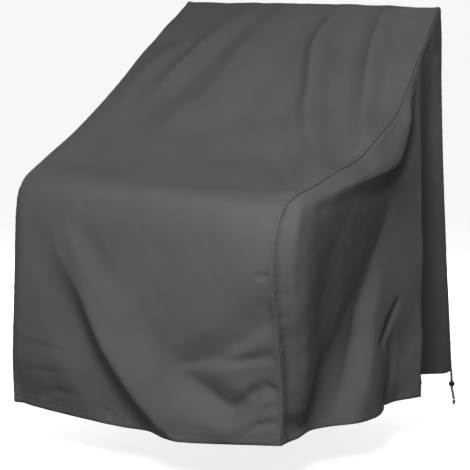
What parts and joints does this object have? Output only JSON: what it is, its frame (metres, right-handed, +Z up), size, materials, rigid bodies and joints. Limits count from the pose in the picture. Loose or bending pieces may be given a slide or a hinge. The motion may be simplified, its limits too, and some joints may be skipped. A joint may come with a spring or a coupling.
{
  "type": "rocking chair cover",
  "caption": "Fitted outdoor cover draped as over a rocking chair: front skirt, lap sloping up to a high back edge, folded side panels, open hem with a drawcord and round lock.",
  "frame": {"origin": "under the middle of the cover's top edge, where it hangs on what it covers", "axes": "+X to the right seen from the front, +Y from the front to the back, +Z up"},
  "size_m": [0.8983, 0.9995, 1.0914],
  "materials": {
    "cloth": "matte charcoal grey woven polyester with a water-repellent coating",
    "cord": "matte black braided polyester cord",
    "lock": "satin black moulded plastic"
  },
  "bodies": {
    "root": {"main_panel": "cloth", "side_panel_right": "cloth", "side_panel_left": "cloth", "drawcord_a": "cord", "drawcord_b": "cord", "cord_lock": "lock", "cord_knot": "cord"}
  },
  "joints": []
}
